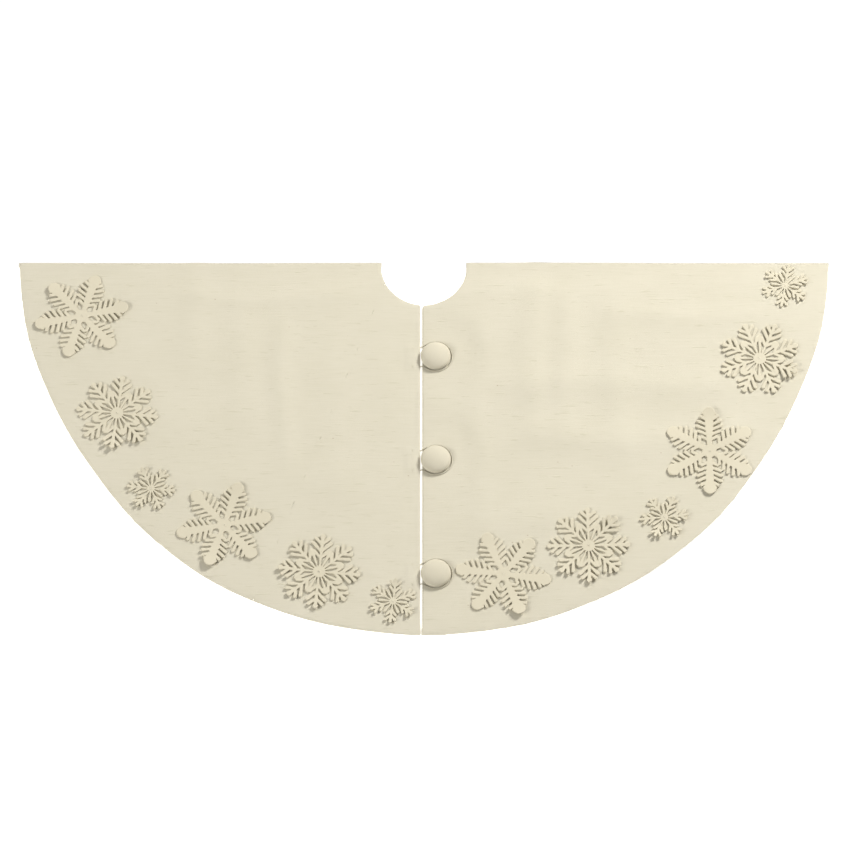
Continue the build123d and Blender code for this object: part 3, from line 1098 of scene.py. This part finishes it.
# ------------------------------------------------------------------------------------ the cloth itself
@dataclass
class SkirtCloth:
    """The round cloth, in two pieces that meet at the flap's fold line."""

    lie: LieOfCloth
    radius: float
    hole_radius: float
    thickness: float
    slit_x: float
    slit_half: float
    fold_start: Vector
    fold_direction: Vector
    skirt_step: float = 7.0 * MM
    flap_step: float = 3.0 * MM
    edge_round: float = 1.5 * MM
    bend_zone: float = 12 * MM
    pull: float = 15 * MM          # how far the hem is drawn in at each front quarter
    pull_angle: float = 0.50       # radians in front of the sides
    pull_width: float = 0.34
    front: float = -20 * MM        # the slit and the flap lie in front of this line
    fold_normal: Vector = field(init=False)

    def __post_init__(self) -> None:
        """Work out which way the flap lies from its fold line."""
        self.fold_normal = Vector((-self.fold_direction.y, self.fold_direction.x, 0))

    def _round_cloth(self, x: Array, y: Array) -> Array:
        """The cloth between the hole and the hem, which isn't quite even all round.

        Args:
            x: Points.
            y: Points.

        Returns:
            The distance to the nearer edge, negative in the cloth.
        """
        angle = np.arctan2(y, x)
        pulled = (np.exp(-((angle + self.pull_angle) / self.pull_width) ** 2)
                  + np.exp(-((angle + np.pi - self.pull_angle) / self.pull_width) ** 2))
        ripple = 0.6 * np.sin(9 * angle + 1.0) + 0.5 * np.sin(23 * angle) - 1.1
        hem = self.radius - self.pull * pulled + ripple * MM
        reach = np.hypot(x, y)
        return np.maximum(reach - hem, self.hole_radius - reach)

    def _half_slit(self, y: Array) -> Array:
        """Half the slit's width, which closes towards the hem."""
        return self.slit_half * (0.86 - 0.5 * smooth((-y - self.radius + 30 * MM) / (28 * MM)))

    def _from_fold(self, x: Array, y: Array, slit_side: float) -> Array:
        """Negative between the fold line and a side of the slit, in front of the hole.

        Args:
            x: Points.
            y: Points.
            slit_side: -1 for the slit's left side, 1 for its right side.

        Returns:
            The distance to the nearest of those lines.
        """
        start, normal = self.fold_start, self.fold_normal
        past_fold = (x - start.x) * normal.x + (y - start.y) * normal.y
        past_slit = x - self.slit_x - slit_side * self._half_slit(y)
        return np.maximum(np.maximum(-past_fold, past_slit), y - self.front)

    def skirt_outline(self, x: Array, y: Array) -> Array:
        """The cloth without the flap and the slit."""
        return np.maximum(self._round_cloth(x, y), -self._from_fold(x, y, 1))

    def flap_outline(self, x: Array, y: Array) -> Array:
        """The front left flap."""
        return np.maximum(self._round_cloth(x, y), self._from_fold(x, y, -1))

    def _real_edges(self, x: Array, y: Array) -> Array:
        """The hem, the hole and the slit, without the fold line, where the cloth runs on."""
        slit = np.maximum(np.abs(x - self.slit_x) - self._half_slit(y), y)
        return np.maximum(self._round_cloth(x, y), -slit)

    def _fold_ends(self) -> list[tuple[float, float]]:
        """Where the fold line meets the hole and the hem.

        Returns:
            The two places.
        """
        along = np.linspace(-1.0, 1.0, 20001)   # 0.1 mm apart
        x = self.fold_start.x + self.fold_direction.x * along
        y = self.fold_start.y + self.fold_direction.y * along
        change = np.diff(np.sign(self._round_cloth(x, y))) != 0
        return [(x[k], y[k]) for k in np.nonzero(change)[0] if y[k] < self.front]

    def _lay(self, flat: Array) -> Array:
        """Lay flat points on the floor with the cloth's waves."""
        return np.column_stack([flat, self.lie.lift(flat[:, 0], flat[:, 1])])

    def edge_stitches(self, material: bpy.types.Material) -> bpy.types.Object:
        """Overcast the slit's right edge with small stitches across it.

        Args:
            material: The thread.

        Returns:
            The stitches.
        """
        chance = np.random.default_rng(5)
        y = np.arange(-self.hole_radius - 4 * MM, -self.radius + 8 * MM, -3.1 * MM)
        y = y + chance.uniform(-0.5, 0.5, len(y)) * MM
        x = self.slit_x + self._half_slit(y) + (1.1 + chance.uniform(-0.3, 0.3, len(y))) * MM
        z = self.thickness + self.lie.lift(x, y) - 0.15 * MM
        places = [Vector(place) for place in zip(x, y, z)]
        return TackStitches("slit_overcasting", "skirt", places, length=3.4 * MM, thread=0.8 * MM,
                            turns=(4.0,), in_cad=False).build(material)

    def build(self, material: bpy.types.Material) -> list[bpy.types.Object]:
        """Args:
            material: The cotton.

        Returns:
            The skirt and the flap.
        """
        margin = 5 * MM
        reach = self.radius + margin
        sheet = cut_sheet(self.skirt_outline, (-reach, -reach), (reach, reach), self.skirt_step,
                          self._real_edges, self._fold_ends())
        points, faces = raise_sheet(sheet, self.thickness, self.edge_round, self._lay)
        skirt = mesh_object("skirt_cotton", points, faces, material)
        declare(skirt, "skirt_cloth", "skirt")

        low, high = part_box("front_left_flap")
        sheet = cut_sheet(self.flap_outline, (low.x - margin, low.y - margin),
                          (high.x + margin, high.y + margin), self.flap_step, self._real_edges,
                          self._fold_ends())
        points, faces = raise_sheet(sheet, self.thickness, self.edge_round, self._lay)
        flap = mesh_object("flap_cotton", points, faces, material)
        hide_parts("front_left_flap")
        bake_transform(flap)
        return [skirt, flap]


# ------------------------------------------------------------------------------------ buttons and loops
def flat_felt(name: str, node: str, body: str, sheet: CutSheet,
              material: bpy.types.Material) -> bpy.types.Object:
    """Make a flat felt piece in its CAD node's place.

    Args:
        name: The piece's name.
        node: The CAD node it replaces.
        body: The body it rides on.
        sheet: Its shape, about its middle.
        material: The felt.

    Returns:
        The piece.
    """
    low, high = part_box(node)
    centre = (low + high) / 2

    def shape(flat: Array) -> Array:
        """Put the piece at its CAD place."""
        return np.column_stack([flat[:, 0] + centre.x, flat[:, 1] + centre.y, np.full(len(flat), low.z)])

    points, faces = raise_sheet(sheet, high.z - low.z, 0.8 * MM, shape)
    return declare(mesh_object(name, points, faces, material), node, body)


@dataclass
class CoveredButton:
    """A domed button covered in cloth that is gathered under its rim, on a thread shank."""

    number: int
    around: int = 96
    pleats: int = 18
    wall: float = 0.7 * MM
    turned_under: float = 5 * MM   # how far the cover reaches in under the button
    rim: float = 3.2 * MM          # height of the rolled rim below the dome
    roll: float = 2.6 * MM         # how far the rim rolls in
    hollow: float = 3 * MM         # from the cover's edge to the foot of its inner wall

    def build(self, wardrobe: Wardrobe) -> list[bpy.types.Object]:
        """Build the cover and dress the parts inside it.

        Args:
            wardrobe: The finishes.

        Returns:
            The pieces of the button.
        """
        name = f"button_{self.number}"
        low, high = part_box(f"{name}_cover")
        centre = (low + high) / 2
        radius = (high.x - low.x) / 2
        cover = self._cover(name, centre, radius, low.z, high.z, wardrobe.button_cloth)
        dress(f"{name}_shell", wardrobe.plastic)
        dress(f"{name}_back_plate", wardrobe.metal)
        dress(f"{name}_thread_shank", wardrobe.thread)
        disc = self._backing(name, wardrobe.felt)
        return [cover, disc]

    def _cover(self, name: str, centre: Vector, radius: float, bottom: float, top: float,
               material: bpy.types.Material) -> bpy.types.Object:
        """The cloth over the dome, its edge turned under and gathered.

        Args:
            name: The button's name.
            centre: Its middle.
            radius: Its radius.
            bottom: Its lowest height.
            top: The height of the dome's top.
            material: The cloth.

        Returns:
            The cover.
        """
        edge = radius - self.turned_under
        waist = bottom + self.rim
        outer = [(radius * math.sin(t), waist + (top - waist) * math.cos(t))
                 for t in np.linspace(0.02, math.pi / 2, 26)]
        outer += [(radius - self.roll * (1 - math.cos(t)), waist - self.rim * math.sin(t))
                  for t in np.linspace(0.2, math.pi / 2, 8)]
        outer.append((edge, bottom))
        inner = [(edge, bottom + self.wall), (radius - self.hollow, bottom + self.wall)]
        inner += [((radius - self.wall) * math.sin(t), waist + (top - self.wall - waist) * math.cos(t))
                  for t in np.linspace(math.pi / 2, 0.02, 26)]
        profile = outer + inner
        points, faces = [], []
        count = len(profile)
        for k in range(self.around):
            angle = 2 * math.pi * k / self.around
            for i, (reach, height) in enumerate(profile):
                under = max(0.0, (waist - height) / self.rim) if i < len(outer) else 0.0
                gather = 1 - 0.010 * under * (1 + math.cos(self.pleats * angle))
                points.append((centre.x + reach * gather * math.cos(angle),
                               centre.y + reach * gather * math.sin(angle), height))
        for k in range(self.around):
            after = (k + 1) % self.around
            for i in range(count - 1):
                a, b = k * count + i, after * count + i
                faces.append([a, a + 1, b + 1, b])
        faces.append([k * count for k in range(self.around)])
        faces.append([k * count + count - 1 for k in reversed(range(self.around))])
        piece = mesh_object(f"{name}_cloth_cover", np.array(points), faces, material, 60)
        return declare(piece, f"{name}_cover", name)

    def _backing(self, name: str, material: bpy.types.Material) -> bpy.types.Object:
        """The felt disc under the cloth that the thread pulls against.

        Args:
            name: The button's name.
            material: The felt.

        Returns:
            The disc.
        """
        node = f"{name}_backing_disc"
        low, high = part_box(node)
        radius = (high.x - low.x) / 2
        reach = radius * 1.1
        sheet = cut_sheet(lambda x, y: np.hypot(x, y) - radius, (-reach, -reach), (reach, reach), 1.0 * MM)
        return flat_felt(f"{node}_felt", node, "skirt", sheet, material)


@dataclass
class CordLoop:
    """A cotton cord loop from the flap, round its button, with its tails, patch and bar tacks."""

    number: int
    strands: int = 3
    lay_length: float = 7.0 * MM   # along the cord for one turn of its strands
    ring_spacing: float = 0.7 * MM
    tail_bend: float = 1.3 * MM
    name: str = field(init=False)
    pivot: Vector = field(init=False)
    button: Vector = field(init=False)
    radius: float = field(init=False)
    round_radius: float = field(init=False)
    spread: float = field(init=False)

    def __post_init__(self) -> None:
        """Read the loop's places and sizes from the CAD model."""
        self.name = f"loop_{self.number}"
        self.pivot = joint_place(f"{self.name}_lift")
        self.button = joint_place(f"button_{self.number}_turn")
        low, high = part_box(f"{self.name}_cord")
        self.radius = (high.z - low.z) / 2
        self.round_radius = high.x - self.radius - self.button.x
        low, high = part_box(f"{self.name}_tails")
        self.spread = (high.y - low.y) / 2 - self.radius

    def build(self, wardrobe: Wardrobe) -> list[bpy.types.Object]:
        """Build the loop and everything that holds it.

        Args:
            wardrobe: The finishes.

        Returns:
            The pieces of the loop.
        """
        low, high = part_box(f"{self.name}_bar_tacks")
        places = [Vector(((low.x + high.x) / 2, self.button.y + side * self.spread, low.z + 0.95 * MM))
                  for side in (1, -1)]
        tacks = TackStitches(f"{self.name}_bar_tacks", "left_flap", places, length=6.0 * MM, thread=0.8 * MM,
                             turns=(78.0, 102.0))
        return [self._cord("cord", [self._loop_line()], wardrobe.cord, self.name),
                self._cord("tails", [self._tail_line(side) for side in (1, -1)], wardrobe.cord, "left_flap"),
                self._patch(wardrobe.felt),
                tacks.build(wardrobe.thread)]

    def _loop_line(self) -> list[Vector]:
        """The loop's middle line: out of the slit, round the button, and back.

        Returns:
            The line's points.
        """
        pivot, button = self.pivot, self.button
        reach = math.hypot(pivot.x - button.x, self.spread)
        meet = math.atan2(self.spread, pivot.x - button.x) - math.acos(self.round_radius / reach)
        bend = [Vector((button.x + self.round_radius * math.cos(angle),
                        button.y + self.round_radius * math.sin(angle), pivot.z))
                for angle in np.linspace(meet, -meet, 61)]
        start = Vector((pivot.x, button.y + self.spread, pivot.z))
        end = Vector((pivot.x, button.y - self.spread, pivot.z))
        out = [start.lerp(bend[0], t) for t in (0.0, 0.35, 0.7)]
        back = [bend[-1].lerp(end, t) for t in (0.35, 0.7, 1.0)]
        return out + bend + back

    def _tail_line(self, side: int) -> list[Vector]:
        """A tail's middle line: along its patch, then up through the slit.

        Args:
            side: 1 for the tail farther from the hem, -1 for the other.

        Returns:
            The line's points.
        """
        low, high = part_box(f"{self.name}_tails")
        y = self.button.y + side * self.spread
        z = low.z + self.radius
        bend_x = self.pivot.x - self.tail_bend
        line = [Vector((low.x, y, z)), Vector((bend_x, y, z))]
        line += [Vector((bend_x + self.tail_bend * math.sin(t), y, z + self.tail_bend * (1 - math.cos(t))))
                 for t in np.linspace(0.3, math.pi / 2, 5)]
        return line + [Vector((self.pivot.x, y, high.z))]

    def _cord(self, part: str, lines: list[list[Vector]], material: bpy.types.Material,
              body: str) -> bpy.types.Object:
        """Spin strands along each line, by Geometry Nodes.

        Args:
            part: Which part of the loop it is, as its CAD node names it.
            lines: Middle lines, as lists of points.
            material: The cord's cotton.
            body: The body it rides on.

        Returns:
            The cord as a plain mesh.
        """
        name = f"{self.name}_spun_{part}"
        curve = bpy.data.curves.new(name, "CURVE")
        curve.dimensions = "3D"
        for line in lines:
            spline = curve.splines.new("POLY")
            spline.points.add(len(line) - 1)
            for point, place in zip(spline.points, line):
                point.co = (*place, 1.0)
        route = bpy.data.objects.new(f"{name}_route", curve)
        bpy.context.scene.collection.objects.link(route)
        graph = bpy.context.evaluated_depsgraph_get()
        wire = bpy.data.meshes.new_from_object(route.evaluated_get(graph))
        bpy.data.objects.remove(route)
        holder = bpy.data.objects.new(name, wire)
        bpy.context.scene.collection.objects.link(holder)
        sizes = {"Cord radius": self.radius, "Lay length": self.lay_length}
        grow(holder, self._tree(material, tuple(sizes)), sizes)
        return declare(holder, f"{self.name}_{part}", body)

    def _tree(self, material: bpy.types.Material, sizes: tuple[str, ...]) -> bpy.types.NodeTree:
        """The node tree: twisted strands that follow the line, as one lobed section that turns.

        Args:
            material: The cord's cotton.
            sizes: The names of the size inputs.

        Returns:
            The group.
        """
        tree, given = start_group("spun cord", sizes)
        radius, lay = given.outputs["Cord radius"], given.outputs["Lay length"]
        line = add_node(tree, "GeometryNodeMeshToCurve", None, {"Mesh": given.outputs["Geometry"]})
        even = add_node(tree, "GeometryNodeResampleCurve", {"mode": "LENGTH"},
                        {"Curve": line.outputs["Curve"], "Length": self.ring_spacing})
        along = add_node(tree, "GeometryNodeSplineParameter").outputs["Length"]
        turns = add_node(tree, "ShaderNodeMath", {"operation": "DIVIDE"}, {0: along, 1: lay}).outputs[0]
        angle = add_node(tree, "ShaderNodeMath", {"operation": "MULTIPLY"}, {0: turns, 1: 2 * math.pi})
        twisted = add_node(tree, "GeometryNodeSetCurveTilt", None,
                           {"Curve": even.outputs["Curve"], "Tilt": angle.outputs[0]})
        # A strand's own radius and its distance from the cord's middle add up to the cord's radius.
        strand, offset = (
            add_node(tree, "ShaderNodeMath", {"operation": "MULTIPLY"}, {0: radius, 1: share}).outputs[0]
            for share in (0.54, 0.46))
        ring = add_node(tree, "GeometryNodeCurvePrimitiveCircle", None, {"Resolution": 10, "Radius": strand})
        section = add_node(tree, "GeometryNodeJoinGeometry")
        for k in range(self.strands):
            turn = 2 * math.pi * k / self.strands
            across, up = (
                add_node(tree, "ShaderNodeMath", {"operation": "MULTIPLY"}, {0: offset, 1: share}).outputs[0]
                for share in (math.cos(turn), math.sin(turn)))
            shift = add_node(tree, "ShaderNodeCombineXYZ", None, {"X": across, "Y": up})
            moved = add_node(tree, "GeometryNodeTransform", None,
                             {"Geometry": ring.outputs["Curve"], "Translation": shift.outputs[0]})
            tree.links.new(moved.outputs["Geometry"], section.inputs["Geometry"])
        cord = add_node(tree, "GeometryNodeCurveToMesh", None,
                        {"Curve": twisted.outputs["Curve"], "Profile Curve": section.outputs["Geometry"],
                         "Fill Caps": True})
        end_group(tree, cord.outputs["Mesh"], material)
        return tree

    def _patch(self, material: bpy.types.Material) -> bpy.types.Object:
        """The felt patch under the flap, notched for the tails.

        Args:
            material: The felt.

        Returns:
            The patch.
        """
        low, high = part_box(f"{self.name}_anchor_patch")
        half_x, half_y = (high.x - low.x) / 2, (high.y - low.y) / 2
        notch_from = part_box(f"{self.name}_tails")[0].x - (low.x + high.x) / 2

        def outline(x: Array, y: Array) -> Array:
            """A rectangle with two notches.

            Args:
                x: Points about the patch's middle.
                y: Points about the patch's middle.

            Returns:
                The distance to the cut edge, negative in the felt.
            """
            block = np.maximum(np.abs(x) - half_x, np.abs(y) - half_y)
            notch = np.maximum(np.abs(np.abs(y) - self.spread) - self.radius - 0.2 * MM, notch_from - x)
            return np.maximum(block, -notch)

        edge = 1 * MM
        sheet = cut_sheet(outline, (-half_x - edge, -half_y - edge), (half_x + edge, half_y + edge), 0.9 * MM)
        return flat_felt(f"{self.name}_felt_patch", f"{self.name}_anchor_patch", "left_flap", sheet, material)


# ------------------------------------------------------------------------------------ the studio
@dataclass
class Studio:
    """A plain pale floor, soft lights and a long-lens camera above the front of the skirt."""

    elevation: float = 63.8
    lens: float = 400.0
    distance: float = 17.59
    back_line: float = 9.5 * MM
    aim: Vector = field(default_factory=lambda: Vector((0.002, -0.3285, 0.0)))
    floor_half: float = 130.0
    floor_drop: float = 0.5 * MM
    floor_glow: float = 0.65

    def build(self) -> None:
        """Build the floor, the lights, the world and the camera."""
        self._floor()
        self._lights()
        self._camera()
        bpy.context.scene.view_settings.view_transform = "Standard"

    def _floor(self) -> None:
        """A white paper floor that reaches past every view."""
        material = bpy.data.materials.new("matt white paper")
        material.use_nodes = True
        shader = material.node_tree.nodes["Principled BSDF"]
        shader.inputs["Base Color"].default_value = hex_linear("#F7F7F6")
        shader.inputs["Roughness"].default_value = 0.95
        # A little glow keeps the paper white in the skirt's own shadow, as a lit table does.
        shader.inputs["Emission Color"].default_value = hex_linear("#FFFFFF")
        shader.inputs["Emission Strength"].default_value = self.floor_glow
        mesh = bpy.data.meshes.new("studio_floor")
        corners = [(x * self.floor_half, y * self.floor_half, 0)
                   for x, y in ((-1, -1), (1, -1), (1, 1), (-1, 1))]
        mesh.from_pydata(corners, [], [[0, 1, 2, 3]])
        mesh.materials.append(material)
        floor = bpy.data.objects.new("studio_floor", mesh)
        floor.location.z = -self.floor_drop
        bpy.context.scene.collection.objects.link(floor)

    def _light(self, name: str, place: tuple, target: tuple, size: float, power: float) -> None:
        """A square soft box that faces a point.

        Args:
            name: The lamp's name.
            place: Where it stands.
            target: The point it faces.
            size: Its side.
            power: Its power in watts.
        """
        data = bpy.data.lights.new(name, "AREA")
        data.size = size
        data.energy = power
        data.color = hex_linear("#FFFDF9")[:3]
        lamp = bpy.data.objects.new(name, data)
        lamp.location = place
        lamp.rotation_euler = (Vector(target) - Vector(place)).to_track_quat("-Z", "Y").to_euler()
        bpy.context.scene.collection.objects.link(lamp)

    def _lights(self) -> None:
        """The key from the back right, a fill from the front left, and a white world."""
        self._light("key", (2.7, 2.3, 2.7), (0.0, -0.2, 0.0), 1.0, 250.0)
        self._light("fill", (-4.2, -2.6, 3.6), (0.0, -0.3, 0.0), 1.9, 190.0)
        self._world()

    def _world(self) -> None:
        """A white room: bright round the horizon and below it, softer overhead."""
        world = bpy.data.worlds.new("white room")
        world.use_nodes = True
        tree = world.node_tree
        tree.nodes.clear()
        way = add_node(tree, "ShaderNodeTexCoord").outputs["Generated"]
        height = add_node(tree, "ShaderNodeSeparateXYZ", None, {"Vector": way}).outputs["Z"]
        strength = add_node(tree, "ShaderNodeMapRange", {"interpolation_type": "SMOOTHSTEP"},
                            {"Value": height, "From Min": 0.05, "From Max": 0.45,
                             "To Min": 1.05, "To Max": 0.28})
        overhead = add_node(tree, "ShaderNodeMapRange", None,
                            {"Value": height, "From Min": 0.1, "From Max": 0.5})
        colour = add_node(tree, "ShaderNodeMix", {"data_type": "RGBA"},
                          {"Factor": overhead.outputs["Result"], 6: hex_linear("#FFFFFF"),
                           7: hex_linear("#FFFCF6")})
        sky = add_node(tree, "ShaderNodeBackground", None,
                       {"Color": colour.outputs[2], "Strength": strength.outputs["Result"]})
        add_node(tree, "ShaderNodeOutputWorld", None, {"Surface": sky.outputs["Background"]})
        bpy.context.scene.world = world

    def _camera(self) -> None:
        """A camera in front of the skirt, looking down at the set elevation.

        The far clip stands on the skirt's stored fold, near its diameter, so this one view shows the front
        half, as a product sheet does. Nothing is cut from the model, and every other view shows it whole.
        """
        data = bpy.data.cameras.new("camera")
        data.lens = self.lens
        data.sensor_width = 36.0
        rise = math.radians(self.elevation)
        back = Vector((0.0, -math.cos(rise), math.sin(rise)))
        camera = bpy.data.objects.new("camera", data)
        camera.location = self.aim + back * self.distance
        camera.rotation_euler = (math.pi / 2 - rise, 0.0, 0.0)
        top = Vector((0.0, self.back_line, 0.0035))
        data.clip_start = 0.5
        data.clip_end = (camera.location - top).dot(back)
        bpy.context.scene.collection.objects.link(camera)
        bpy.context.scene.camera = camera


# ------------------------------------------------------------------------------------ the whole skirt
def report(pieces: list[bpy.types.Object]) -> None:
    """Log each piece with its number of faces."""
    for piece in pieces:
        log.info("%s: %d faces", piece.name, len(piece.data.polygons))


def main() -> None:
    """Build the studio, the cloth, the snowflakes, the buttons and the loops."""
    logging.basicConfig(level=logging.INFO, format="%(name)s %(message)s")
    Studio().build()
    wardrobe = Wardrobe()
    _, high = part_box("skirt_cloth")
    hole = next(m for m in frame["record"]["mounts"] if m["name"] == "trunk_hole")
    fold = next(j for j in frame["joints"] if j["name"] == "flap_fold")
    pivots = [joint_place(f"loop_{n}_lift") for n in (1, 2, 3)]
    slit_x = pivots[0].x
    lie = LieOfCloth(slit_x, [pivot.y for pivot in pivots])
    cloth = SkirtCloth(lie, radius=high.x, hole_radius=hole["dims"]["r_mm"] * MM, thickness=high.z,
                       slit_x=slit_x, slit_half=slit_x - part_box("front_left_flap")[1].x,
                       fold_start=Vector(fold["pos_m"]), fold_direction=Vector(fold["axis"]).normalized())
    report(cloth.build(wardrobe.cloth))
    report([cloth.edge_stitches(wardrobe.thread)])
    report(SnowflakeRing(lie, high.z).build(wardrobe))
    for number in (1, 2, 3):
        report(CoveredButton(number).build(wardrobe))
        report(CordLoop(number).build(wardrobe))


if __name__ == "__main__":
    main()
